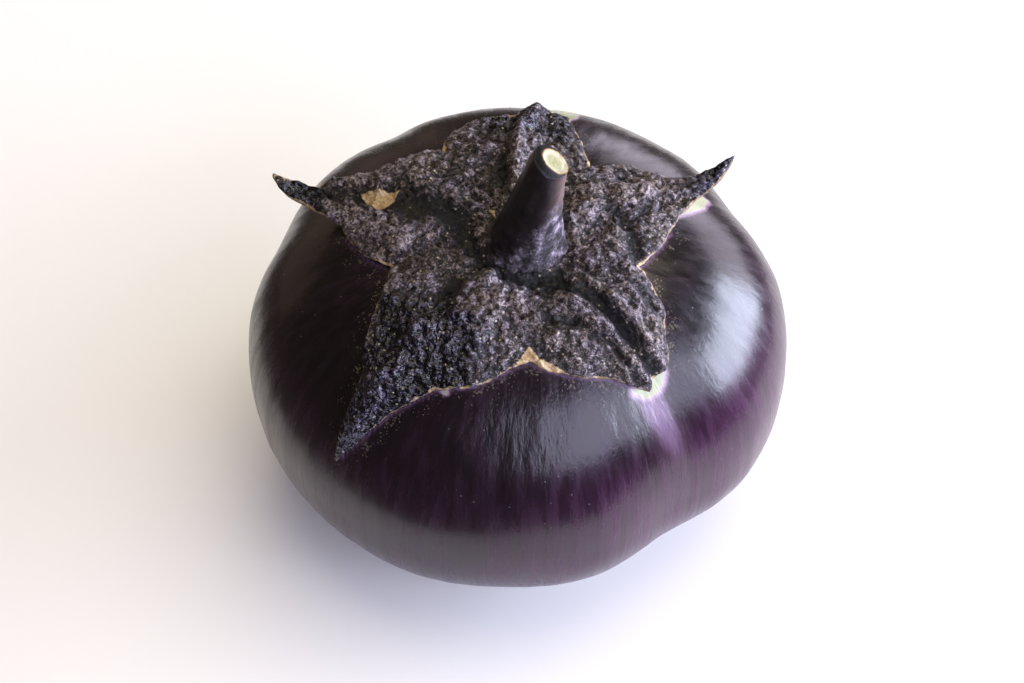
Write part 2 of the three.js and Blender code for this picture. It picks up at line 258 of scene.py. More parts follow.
class StemSettings(bpy.types.PropertyGroup):
    """Sizes and colours of the stem."""
    foot: FloatVectorProperty(
        name="Foot", description="Middle of the foot in plan", size=2,
        default=(2 * MM, -2.8 * MM), unit="LENGTH")
    top: FloatVectorProperty(
        name="Top", description="Middle of the cut", size=3,
        default=(6.25 * MM, -2.8 * MM, 73.4 * MM), unit="LENGTH")
    bow: FloatProperty(
        name="Bow", description="How far it bows to the left", default=0.85 * MM, unit="LENGTH")
    cut_radius: FloatProperty(
        name="Cut radius", description="Radius at the cut", default=3.7 * MM, unit="LENGTH")
    taper: FloatProperty(
        name="Taper", description="Radius gained toward the foot", default=3.5 * MM, unit="LENGTH")
    flare: FloatProperty(
        name="Flare", description="Radius gained where it joins the calyx",
        default=2.8 * MM, unit="LENGTH")
    flare_toward: FloatProperty(
        name="Flare toward", description="Azimuth of the widest flare, in degrees", default=110)
    cut_tilt: FloatProperty(
        name="Cut tilt", description="Slant of the cut", default=math.radians(39), subtype="ANGLE")
    # Browner colour given to the stem's right side
    brown_side_colour: FloatVectorProperty(
        name="Sunny colour", description="Brown of the side that the sun has dried",
        size=4, default=linear("#806a62"), subtype="COLOR")
    columns: IntProperty(name="Columns", description="Faces round the stem", default=120)
    rows: IntProperty(name="Rows", description="Faces from foot to cut", default=110)
    face_rows: IntProperty(name="Face rows", description="Faces across the cut", default=24)
    under_rows: IntProperty(name="Under rows", description="Faces across the foot below", default=8)


class StageSettings(bpy.types.PropertyGroup):
    """The floor, the lights and the camera."""
    elevation: FloatProperty(
        name="Elevation", description="How far the camera looks down",
        default=math.radians(50), subtype="ANGLE")
    distance: FloatProperty(
        name="Distance", description="Camera to the fruit's middle",
        default=450 * MM, unit="LENGTH")
    lens: FloatProperty(name="Lens", description="Focal length in mm on a 36 mm sensor", default=70.44)
    sheet: FloatProperty(
        name="Sheet", description="Radius of the pale sheet round the fruit",
        default=155 * MM, unit="LENGTH")
    paper_colour: FloatVectorProperty(
        name="Paper colour", description="Colour of the floor",
        size=4, default=linear("#f4f3f0"), subtype="COLOR")


def bump(distance, spread):
    """1 at no distance, fading to about a third at one spread."""
    return np.exp(-(distance / spread) ** 2)


def turn(azimuth, start):
    """Difference of two azimuths in degrees, within half a turn."""
    return (azimuth - start + 180) % 360 - 180


def smooth(value, low, high):
    """0 below low, 1 above high and a smooth step between."""
    share = np.clip((value - low) / (high - low), 0, 1)
    return share * share * (3 - 2 * share)


def around(azimuth, radius, height):
    """Points at azimuths in degrees and radii round the fruit's axis."""
    angle = np.radians(azimuth)
    return np.stack([radius * np.cos(angle), radius * np.sin(angle), height + 0 * angle], axis=-1)


def girth(fruit, azimuth):
    """Radius of the fruit's widest outline: an ellipse moved back, with the furrows let in."""
    angle = np.radians(azimuth)
    radius = 1 / np.hypot(np.cos(angle) / fruit.half_width, np.sin(angle) / fruit.half_depth)
    radius = radius + fruit.back_shift * np.sin(angle)
    for centre, depth, spread in FURROWS:
        radius = radius - depth * MM * bump(turn(azimuth, centre), spread)
    return radius


def skin_height(fruit, azimuth, radius):
    """Height of the upper skin over the widest level."""
    rest = np.clip(1 - (np.abs(radius) / girth(fruit, azimuth)) ** fruit.fullness, 0, 1)
    hollow = fruit.hollow_depth * bump(radius, fruit.hollow_radius)
    return fruit.top_height * rest ** (1 / fruit.fullness) - hollow


def skin_points(fruit, azimuth, down):
    """Points of the whole skin, where down is 0 at the top pole and 1 at the bottom pole."""
    from_pole = 1 - np.abs(2 * down - 1)
    polar = math.pi / 2 * from_pole ** (fruit.fullness / 2)
    radius = girth(fruit, azimuth) * np.sin(polar) ** (2 / fruit.fullness)
    rise = np.clip(np.cos(polar), 0, 1) ** (2 / fruit.fullness)
    upper = fruit.top_height * rise - fruit.hollow_depth * bump(radius, fruit.hollow_radius)
    lower = fruit.scar_depth * bump(radius, fruit.scar_radius) - fruit.bottom_height * rise
    return around(azimuth, radius, np.where(down <= 0.5, upper, lower))


def placed(points, matrix):
    """Points turned and shifted by a matrix."""
    return points @ np.array(matrix.to_3x3()).T + np.array(matrix.translation)


def standing_matrix(fruit):
    """Leans the fruit's own frame and sets it where the solid fruit stands."""
    leaning = Matrix.Rotation(fruit.lean, 4, "X")
    azimuth, down = np.meshgrid(np.arange(0, 360, 2), np.linspace(0, 1, 91))
    points = placed(skin_points(fruit, azimuth.ravel(), down.ravel()), leaning)
    low, high = (Vector(corner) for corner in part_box("fruit"))
    place = (low + high) / 2 - Vector((points.min(axis=0) + points.max(axis=0)) / 2)
    place.z = high.z - points[:, 2].max()
    return Matrix.Translation(place) @ leaning


def moulded(name, columns, rows, shape):
    """An object made from a grid that is closed into a ball, whose points shape() then moves by
    their shares round and down the ball. Gives the object and those two shares for each vertex."""
    ball = bmesh.new()
    bmesh.ops.create_grid(ball, x_segments=columns, y_segments=rows, size=0.5)
    round_layer = ball.verts.layers.float.new("round_share")
    down_layer = ball.verts.layers.float.new("down_share")
    for vertex in ball.verts:
        round_share, down_share = vertex.co.x + 0.5, vertex.co.y + 0.5
        vertex[round_layer], vertex[down_layer] = round_share, down_share
        out, angle = math.sin(math.pi * down_share), 2 * math.pi * round_share
        vertex.co = (out * math.cos(angle), out * math.sin(angle), math.cos(math.pi * down_share))
    bmesh.ops.remove_doubles(ball, verts=ball.verts, dist=1e-5)
    bmesh.ops.recalc_face_normals(ball, faces=ball.faces)
    mesh = bpy.data.meshes.new(name)
    ball.to_mesh(mesh)
    ball.free()
    shares = []
    for layer in ("round_share", "down_share"):
        values = np.empty(len(mesh.vertices), dtype=np.float32)
        mesh.attributes[layer].data.foreach_get("value", values)
        mesh.attributes.remove(mesh.attributes[layer])
        shares.append(values.astype(float))
    round_share = np.rint(shares[0] * columns) % columns / columns
    down_share = np.rint(shares[1] * rows) / rows
    mesh.vertices.foreach_set("co", shape(round_share, down_share).astype(np.float32).ravel())
    mesh.shade_smooth()
    mesh.update()
    piece = bpy.data.objects.new(name, mesh)
    bpy.context.scene.collection.objects.link(piece)
    return piece, round_share, down_share


def store(piece, name, values):
    """Keeps a number, or a vector, for each vertex as an attribute for the material."""
    vector = values.ndim == 2
    layer = piece.data.attributes.new(name, "FLOAT_VECTOR" if vector else "FLOAT", "POINT")
    layer.data.foreach_set("vector" if vector else "value", values.astype(np.float32).ravel())


def nearest(points, line):
    """Distance from each point to the nearest point of a line."""
    tree = kdtree.KDTree(len(line))
    for index, point in enumerate(line):
        tree.insert(point, index)
    tree.balance()
    return np.array([tree.find(point)[2] for point in points])


def wander(points, size, octaves=4, seed=0.0):
    """Fractal noise at each point, about -1 to 1, with features of this size."""
    shift = Vector((seed, 2.7 * seed, -1.9 * seed))
    return np.array([
        noise.fractal(Vector(point) / size + shift, 1.0, 2.0, octaves) for point in points])


def edge_line():
    """The calyx's torn edge, closely spaced: azimuths, radii, and each point's lift and curl."""
    spacing = 0.25 * MM
    corners = [(azimuth, radius * MM, lobe) for lobe in LOBES for azimuth, radius in lobe["edge"]]
    rows = []
    for index, (azimuth, radius, lobe) in enumerate(corners):
        next_azimuth, next_radius, _ = corners[(index + 1) % len(corners)]
        gap = turn(next_azimuth, azimuth)
        length = math.hypot(math.radians(gap) * radius, next_radius - radius)
        steps = max(2, round(length / spacing))
        for step in range(steps):
            share = step / steps
            rows.append((azimuth + gap * share, radius + (next_radius - radius) * share,
                         lobe["lift_from"] * MM, lobe["curl"] / MM))
    return np.array(rows)


def resampled_edge(count):
    """That edge at evenly spaced points, frayed a little."""
    fray_depth, fray_size = 0.35 * MM, 2.5 * MM
    line = edge_line()
    plan = around(line[:, 0], line[:, 1], 0)
    steps = np.linalg.norm(np.roll(plan, -1, axis=0) - plan, axis=1)
    along = np.concatenate([[0], np.cumsum(steps)])
    wanted = np.arange(count) / count * along[-1]
    azimuth = np.interp(wanted, along, np.append(line[:, 0], line[0, 0] + 360))
    radius = np.interp(wanted, along, np.append(line[:, 1], line[0, 1]))
    place = np.searchsorted(along, wanted, side="right") - 1
    fray = wander(around(azimuth, radius, 0), fray_size, 5, 3.1)
    return azimuth, radius + fray_depth * fray, line[place, 2], line[place, 3]


def lobe_points(fruit, azimuth, radius, lift, curl):
    """Middle layer of the lobes: on the skin, then off along the tangent with an upward curl."""
    hugging = np.minimum(radius, lift)
    past = radius - hugging
    step = 0.05 * MM
    ahead = skin_height(fruit, azimuth, hugging + step)
    slope = (ahead - skin_height(fruit, azimuth, hugging - step)) / (2 * step)
    height = skin_height(fruit, azimuth, hugging) + slope * past + curl * past ** 2
    return around(azimuth, radius, height)


def lobe_normals(fruit, azimuth, radius, lift, curl):
    """Outward directions of that layer."""
    reach = np.maximum(radius, 1 * MM)
    step, half_degree = 0.2 * MM, 0.5
    out = (lobe_points(fruit, azimuth, reach + step, lift, curl)
           - lobe_points(fruit, azimuth, reach - step, lift, curl))
    across = (lobe_points(fruit, azimuth + half_degree, reach, lift, curl)
              - lobe_points(fruit, azimuth - half_degree, reach, lift, curl))
    normal = np.cross(out, across)
    return normal / np.linalg.norm(normal, axis=1, keepdims=True)


def distance_to_path(plan, path):
    """Distance in plan from points to a path of (azimuth, radius in mm) corners."""
    corners = around(*(np.array(path, dtype=float) * (1, MM)).T, 0)[:, :2]
    shortest = np.full(len(plan), np.inf)
    for start, end in zip(corners, corners[1:]):
        along = end - start
        share = np.clip((plan - start) @ along / (along @ along), 0, 1)
        shortest = np.minimum(shortest, np.linalg.norm(plan - start - share[:, None] * along, axis=1))
    return shortest


def inside_by(plan, outline):
    """How far inside an outline of (azimuth, radius in mm) corners plan points lie, below 0 outside."""
    corners = around(*(np.array(outline, dtype=float) * (1, MM)).T, 0)[:, :2]
    crossings = np.zeros(len(plan), dtype=int)
    for (x, y), (next_x, next_y) in zip(corners, np.roll(corners, -1, axis=0)):
        spans = (y > plan[:, 1]) != (next_y > plan[:, 1])
        crossing = x + (plan[:, 1] - y) / (next_y - y + 1e-12) * (next_x - x)
        crossings += spans & (plan[:, 0] < crossing)
    return distance_to_path(plan, [*outline, outline[0]]) * np.where(crossings % 2, 1, -1)


def foot_flare(stem, angle):
    """What the flare adds to the stem's foot at angles round the stem."""
    return stem.flare * (0.5 + 0.5 * np.cos(np.radians(angle - stem.flare_toward)))


def from_foot(stem, plan):
    """How far outside the stem's foot each plan point lies."""
    offset = plan - np.array(stem.foot)
    angle = np.degrees(np.arctan2(offset[:, 1], offset[:, 0]))
    foot = stem.cut_radius + stem.taper + foot_flare(stem, angle)
    return np.linalg.norm(offset, axis=1) - foot


def fold_heights(plan):
    """Height of all the calyx's folds at plan points, in metres."""
    return sum(height * MM * bump(distance_to_path(plan, path), width * MM)
               for height, width, path in FOLDS)


def fold_shade_shares(plan):
    """How deep in a creased-in fold of the calyx each plan point lies, 0 to 1: its painted shade."""
    creased = [min(1, -0.55 * height) * bump(distance_to_path(plan, path), 0.8 * width * MM)
               for height, width, path in FOLDS if height < 0]
    return np.clip(sum(creased), 0, 1)


def seat_height(fruit, calyx, plan):
    """Height of the calyx's smooth middle, which the stem's foot rests on."""
    azimuth = np.degrees(np.arctan2(plan[:, 1], plan[:, 0]))
    return skin_height(fruit, azimuth, np.linalg.norm(plan, axis=1)) + calyx.gap + calyx.middle


def stem_centres(fruit, calyx, stem, along):
    """Centre line of the stem from its foot at 0 to its cut at 1."""
    foot_plan = np.array(stem.foot)
    foot = np.append(foot_plan, seat_height(fruit, calyx, foot_plan[None])[0])
    centres = foot + along[:, None] * (np.array(stem.top) - foot)
    centres[:, 0] -= 4 * stem.bow * along * (1 - along)
    return centres


def stem_side(fruit, calyx, stem, angle, along):
    """Points on the stem's side: tapering, flared at the foot and settled on the calyx."""
    below = np.clip(1 - along, 0, None)
    radius = stem.cut_radius + stem.taper * (1 - along) + foot_flare(stem, angle) * below ** 5
    points = stem_centres(fruit, calyx, stem, along) + around(angle, radius, 0)
    foot_height = stem_centres(fruit, calyx, stem, np.zeros(1))[0, 2]
    points[:, 2] += (seat_height(fruit, calyx, points[:, :2]) - foot_height) * below ** 3
    return points


def cut_facing(stem):
    """Direction that the slanting cut faces."""
    return np.array([math.sin(stem.cut_tilt), 0, math.cos(stem.cut_tilt)])


def pale_rings(offset):
    """Where points lie on the cut: 0 at the centre of its pale face and 1 on its outline."""
    return np.hypot((offset[:, 0] - PALE_CENTRE[0]) / PALE_RADII[0],
                    (offset[:, 1] - PALE_CENTRE[1]) / PALE_RADII[1])


def cut_along(fruit, calyx, stem, angle):
    """How far along the stem its slanting cut crosses the side at each angle."""
    facing = cut_facing(stem)
    low, high = np.full(len(angle), 0.6), np.full(len(angle), 1.4)
    for _ in range(30):
        middle = (low + high) / 2
        beyond = (stem_side(fruit, calyx, stem, angle, middle) - np.array(stem.top)) @ facing > 0
        low, high = np.where(beyond, low, middle), np.where(beyond, middle, high)
    return low


def add_node(tree, kind, inputs=None, stops=None, **settings):
    """Adds a node with its settings, and with values or other nodes' outputs at its inputs."""
    node = tree.nodes.new(kind)
    for key, value in settings.items():
        setattr(node, key, value)
    for key, value in (inputs or {}).items():
        if isinstance(value, bpy.types.NodeSocket):
            tree.links.new(value, node.inputs[key])
        else:
            node.inputs[key].default_value = value
    if stops:
        ramp = node.color_ramp
        while len(ramp.elements) < len(stops):
            ramp.elements.new(0.5)
        for element, (position, colour) in zip(ramp.elements, stops):
            element.position = position
            element.color = linear(colour)
    return node


def new_material(name):
    """A material with nodes, and its tree and shader."""
    material = bpy.data.materials.new(name)
    material.use_nodes = True
    return material, material.node_tree, material.node_tree.nodes["Principled BSDF"]


def skin_material(fruit):
    """Eggplant skin: a waxy cuticle over cells dark with anthocyanin. Semi-gloss, with fine
    streaks from stem to blossom end that comb the highlights."""
    material, tree, shader = new_material("waxy_eggplant_skin")
    place = add_node(tree, "ShaderNodeTexCoord").outputs["Object"]
    meridian = add_node(tree, "ShaderNodeAttribute", attribute_name="meridian").outputs["Vector"]
    bare, blush, dusted, scar, combed = (
        add_node(tree, "ShaderNodeAttribute", attribute_name=name).outputs["Fac"]
        for name in ("bare", "blush", "dusted", "scar", "combed"))

    # Streaks up to 2.4 mm wide and about tenfold as long, and soft bands up to 9 mm wide
    streak = add_node(tree, "ShaderNodeTexNoise", {
        "Vector": meridian, "Scale": 1 / (2.4 * MM), "Detail": 4, "Roughness": 0.6}).outputs["Fac"]
    band = add_node(tree, "ShaderNodeTexNoise", {
        "Vector": meridian, "Scale": 1 / (9 * MM), "Detail": 2}).outputs["Fac"]
    tone = add_node(tree, "ShaderNodeMath", {0: streak, 1: band}, operation="MULTIPLY").outputs[0]
    ground = add_node(tree, "ShaderNodeValToRGB", {"Fac": tone}, stops=[
        (0.1, "#090608"), (0.25, "#120a10"), (0.42, "#211320")]).outputs["Color"]
    flushed = add_node(tree, "ShaderNodeMath", {0: streak, 1: blush}, operation="MULTIPLY").outputs[0]
    flushed = add_node(tree, "ShaderNodeMath", {0: flushed, 1: 0.85}, operation="MULTIPLY").outputs[0]
    ground = add_node(tree, "ShaderNodeMix", {
        "Factor": flushed, 6: ground, 7: fruit.flush_colour}, data_type="RGBA").outputs[2]

    # Pale pores about 3.4 mm apart, and dust of the dried calyx that has drifted onto the skin
    # round it, in specks 0.6 mm apart
    pore = add_node(tree, "ShaderNodeTexVoronoi", {
        "Vector": place, "Scale": 1 / (3.4 * MM)}).outputs["Distance"]
    pore = add_node(tree, "ShaderNodeMapRange", {
        "Value": pore, "From Min": 0.035, "From Max": 0.065, "To Min": 0.35, "To Max": 0.0}).outputs[0]
    ground = add_node(tree, "ShaderNodeMix", {
        "Factor": pore, 6: ground, 7: linear("#948a96")}, data_type="RGBA").outputs[2]
    dust = add_node(tree, "ShaderNodeTexVoronoi", {
        "Vector": place, "Scale": 1 / (0.6 * MM)}).outputs["Distance"]
    drift = add_node(tree, "ShaderNodeTexNoise", {
        "Vector": place, "Scale": 1 / (2.5 * MM), "Detail": 2}).outputs["Fac"]
    drift = add_node(tree, "ShaderNodeMath", {
        0: drift, 1: 6, 2: -2.1}, operation="MULTIPLY_ADD").outputs[0]
    drift = add_node(tree, "ShaderNodeMath", {0: drift, 1: dusted}, operation="MULTIPLY").outputs[0]
    dust = add_node(tree, "ShaderNodeMath", {0: dust, 1: drift}, operation="LESS_THAN").outputs[0]
    dust = add_node(tree, "ShaderNodeMath", {0: dust, 1: 0.3}, operation="MULTIPLY").outputs[0]
    ground = add_node(tree, "ShaderNodeMix", {
        "Factor": dust, 6: ground, 7: linear("#8d8270")}, data_type="RGBA").outputs[2]

    # Skin that had no light under the calyx: green-white, then pink, then lilac at its border.
    # The streak below the front right lobe is drawn in these colours too, partly as a painted highlight
    uneven = add_node(tree, "ShaderNodeMath", {
        0: streak, 1: 0.7, 2: 0.65}, operation="MULTIPLY_ADD").outputs[0]
    uneven = add_node(tree, "ShaderNodeMath", {0: uneven, 1: bare}, operation="MULTIPLY").outputs[0]
    bare_and_highlight_colour = add_node(tree, "ShaderNodeValToRGB", {"Fac": uneven}, stops=[
        (0.0, "#1e1220"), (0.2, "#45303f"), (0.38, "#6b586f"), (0.55, "#937f8d"),
        (0.75, "#a79c93"), (0.95, "#999e7f")]).outputs["Color"]
    shown = add_node(tree, "ShaderNodeMapRange", {
        "Value": uneven, "From Min": 0.02, "From Max": 0.3}).outputs[0]
    colour = add_node(tree, "ShaderNodeMix", {
        "Factor": shown, 6: ground, 7: bare_and_highlight_colour}, data_type="RGBA").outputs[2]
    colour = add_node(tree, "ShaderNodeMix", {
        "Factor": scar, 6: colour, 7: fruit.cork_colour}, data_type="RGBA").outputs[2]
    tree.links.new(colour, shader.inputs["Base Color"])

    rough = add_node(tree, "ShaderNodeMapRange", {
        "Value": streak, "From Min": 0.3, "From Max": 0.7, "To Min": 0.2, "To Max": 0.32}).outputs[0]
    tree.links.new(rough, shader.inputs["Roughness"])
    skin_pores = add_node(tree, "ShaderNodeTexNoise", {
        "Vector": place, "Scale": 1 / (0.6 * MM), "Detail": 2}).outputs["Fac"]
    relief = add_node(tree, "ShaderNodeMath", {0: skin_pores, 1: 0.12}, operation="MULTIPLY").outputs[0]
    relief = add_node(tree, "ShaderNodeMath", {0: streak, 1: relief}, operation="ADD").outputs[0]
    depth = add_node(tree, "ShaderNodeMapRange", {
        "Value": combed, "To Min": 0.2, "To Max": 0.8}).outputs[0]
    normal = add_node(tree, "ShaderNodeBump", {
        "Height": relief, "Strength": depth, "Distance": 0.3 * MM}).outputs["Normal"]
    tree.links.new(normal, shader.inputs["Normal"])
    shader.inputs["IOR"].default_value = 1.46
    return material


def calyx_material(calyx):
    """Dried calyx: a leathery leaf with matted hairs. Black-brown and grainy, with a cool gleam on its
    ridges, painted shade in its folds, painted light on its raised wrinkles, specks of pale dust, and
    tan where it has torn or dried thin."""
    material, tree, shader = new_material("dried_felted_calyx")
    place = add_node(tree, "ShaderNodeTexCoord").outputs["Object"]
    edge, tan, raised, leathery, fold_shade = (
        add_node(tree, "ShaderNodeAttribute", attribute_name=name).outputs["Fac"]
        for name in ("edge_distance", "tan", "raised", "leathery", "fold_shade"))

    # Tufts of hair about 1 mm apart over wrinkles of 2.4 mm; the lobes' ends are bare black
    # leather. Single hairs are 0.05 mm thick: the speckle for them is drawn 0.45 mm wide
    tuft = add_node(tree, "ShaderNodeTexNoise", {
        "Vector": place, "Scale": 1 / (1 * MM), "Detail": 4, "Roughness": 0.72,
        "Distortion": 0.8}).outputs["Fac"]
    hair = add_node(tree, "ShaderNodeTexNoise", {
        "Vector": place, "Scale": 1 / (0.45 * MM), "Detail": 1, "Distortion": 1.5}).outputs["Fac"]
    grain = add_node(tree, "ShaderNodeMath", {
        0: hair, 1: 0.36, 2: -0.18}, operation="MULTIPLY_ADD").outputs[0]
    grain = add_node(tree, "ShaderNodeMath", {0: grain, 1: tuft}, operation="ADD").outputs[0]
    wrinkle = add_node(tree, "ShaderNodeTexNoise", {
        "Vector": place, "Scale": 1 / (2.4 * MM), "Detail": 3, "Distortion": 0.6}).outputs["Fac"]
    mottle = add_node(tree, "ShaderNodeTexNoise", {
        "Vector": place, "Scale": 1 / (7 * MM), "Detail": 3}).outputs["Fac"]

    # Pale on the hairs, and on the raised wrinkles partly through wear and partly as painted light;
    # the folds are darkened with painted shade
    wear_and_painted_shading = add_node(tree, "ShaderNodeMapRange", {
        "Value": raised, "From Min": -0.9 * MM, "From Max": 1 * MM,
        "To Min": -1.08, "To Max": -0.74}).outputs[0]
    wear_and_painted_shading = add_node(tree, "ShaderNodeMath", {
        0: fold_shade, 1: -0.42, 2: wear_and_painted_shading}, operation="MULTIPLY_ADD").outputs[0]
    wear_and_painted_shading = add_node(tree, "ShaderNodeMath", {
        0: grain, 1: 2.8, 2: wear_and_painted_shading}, operation="MULTIPLY_ADD").outputs[0]
    felt = add_node(tree, "ShaderNodeValToRGB", {"Fac": wear_and_painted_shading}, stops=[
        (0.12, "#040303"), (0.36, "#1e181a"), (0.54, "#4c4247"), (0.73, "#80747b"),
        (0.95, "#afa4ac")]).outputs["Color"]
    brown = add_node(tree, "ShaderNodeValToRGB", {"Fac": wear_and_painted_shading}, stops=[
        (0.12, "#050403"), (0.36, "#221b17"), (0.54, "#56463e"), (0.73, "#88776b"),
        (0.95, "#b9a897")]).outputs["Color"]
    leather = add_node(tree, "ShaderNodeValToRGB", {"Fac": wear_and_painted_shading}, stops=[
        (0.2, "#020202"), (0.5, "#0b090c"), (0.75, "#26222c"),
        (0.95, "#6a6478")]).outputs["Color"]
    browned = add_node(tree, "ShaderNodeMapRange", {
        "Value": mottle, "From Min": 0.44, "From Max": 0.6, "To Max": 0.85}).outputs[0]
    felt = add_node(tree, "ShaderNodeMix", {
        "Factor": browned, 6: felt, 7: brown}, data_type="RGBA").outputs[2]
    bald = add_node(tree, "ShaderNodeMath", {
        0: mottle, 1: 1.6, 2: -0.8}, operation="MULTIPLY_ADD").outputs[0]
    bald = add_node(tree, "ShaderNodeMath", {0: bald, 1: leathery}, operation="ADD").outputs[0]
    bald = add_node(tree, "ShaderNodeMapRange", {
        "Value": bald, "From Max": 0.6, "To Min": 0.2}).outputs[0]
    felt = add_node(tree, "ShaderNodeMix", {
        "Factor": bald, 6: felt, 7: leather}, data_type="RGBA").outputs[2]
    dust = add_node(tree, "ShaderNodeTexVoronoi", {
        "Vector": place, "Scale": 1 / (1.9 * MM)}).outputs["Distance"]
    dust = add_node(tree, "ShaderNodeMapRange", {
        "Value": dust, "From Min": 0.08, "From Max": 0.15, "To Min": 0.7, "To Max": 0.0}).outputs[0]
    felt = add_node(tree, "ShaderNodeMix", {
        "Factor": dust, 6: felt, 7: calyx.dust_colour}, data_type="RGBA").outputs[2]

    # Straw-coloured where it is thin: a torn rim up to about 0.7 mm wide, and dry flaps
    torn = add_node(tree, "ShaderNodeTexNoise", {
        "Vector": place, "Scale": 1 / (3 * MM), "Detail": 3}).outputs["Fac"]
    rim = add_node(tree, "ShaderNodeMath", {
        0: torn, 1: 1.9 * MM, 2: -0.62 * MM}, operation="MULTIPLY_ADD").outputs[0]
    rim = add_node(tree, "ShaderNodeMath", {0: edge, 1: rim}, operation="LESS_THAN").outputs[0]
    rim = add_node(tree, "ShaderNodeMath", {0: rim, 1: 0.62}, operation="MULTIPLY").outputs[0]
    flap = add_node(tree, "ShaderNodeMath", {
        0: grain, 1: 0.5 * MM, 2: -0.25 * MM}, operation="MULTIPLY_ADD").outputs[0]
    flap = add_node(tree, "ShaderNodeMath", {0: tan, 1: flap}, operation="ADD").outputs[0]
    flap = add_node(tree, "ShaderNodeMapRange", {
        "Value": flap, "From Min": -0.12 * MM, "From Max": 0.12 * MM}).outputs[0]
    dry = add_node(tree, "ShaderNodeMath", {0: rim, 1: flap}, operation="MAXIMUM").outputs[0]
    straw = add_node(tree, "ShaderNodeValToRGB", {"Fac": grain}, stops=[
        (0.3, "#7a5f40"), (0.5, "#ab8f68"), (0.68, "#d3c09c")]).outputs["Color"]
    colour = add_node(tree, "ShaderNodeMix", {
        "Factor": dry, 6: felt, 7: straw}, data_type="RGBA").outputs[2]
    tree.links.new(colour, shader.inputs["Base Color"])

    # Bare leather is pebbled and glossier, where the felt is rough with hair
    pebble = add_node(tree, "ShaderNodeTexNoise", {
        "Vector": place, "Scale": 1 / (1.3 * MM), "Detail": 1}).outputs["Fac"]
    fine = add_node(tree, "ShaderNodeMath", {0: grain, 1: 0.95}, operation="MULTIPLY").outputs[0]
    relief = add_node(tree, "ShaderNodeMix", {"Factor": bald, 2: fine, 3: pebble}).outputs[0]
    relief = add_node(tree, "ShaderNodeMath", {
        0: wrinkle, 1: 1.4, 2: relief}, operation="MULTIPLY_ADD").outputs[0]
    softer = add_node(tree, "ShaderNodeMapRange", {
        "Value": dry, "To Min": 1.0, "To Max": 0.35}).outputs[0]
    normal = add_node(tree, "ShaderNodeBump", {
        "Height": relief, "Strength": softer, "Distance": 0.9 * MM}).outputs["Normal"]
    tree.links.new(normal, shader.inputs["Normal"])
    rough = add_node(tree, "ShaderNodeMapRange", {
        "Value": bald, "To Min": 0.5, "To Max": 0.24}).outputs[0]
    tree.links.new(rough, shader.inputs["Roughness"])
    shader.inputs["IOR"].default_value = 1.43
    shader.inputs["Sheen Weight"].default_value = 0.06
    shader.inputs["Sheen Roughness"].default_value = 0.35
    shader.inputs["Sheen Tint"].default_value = calyx.sheen_colour
    return material


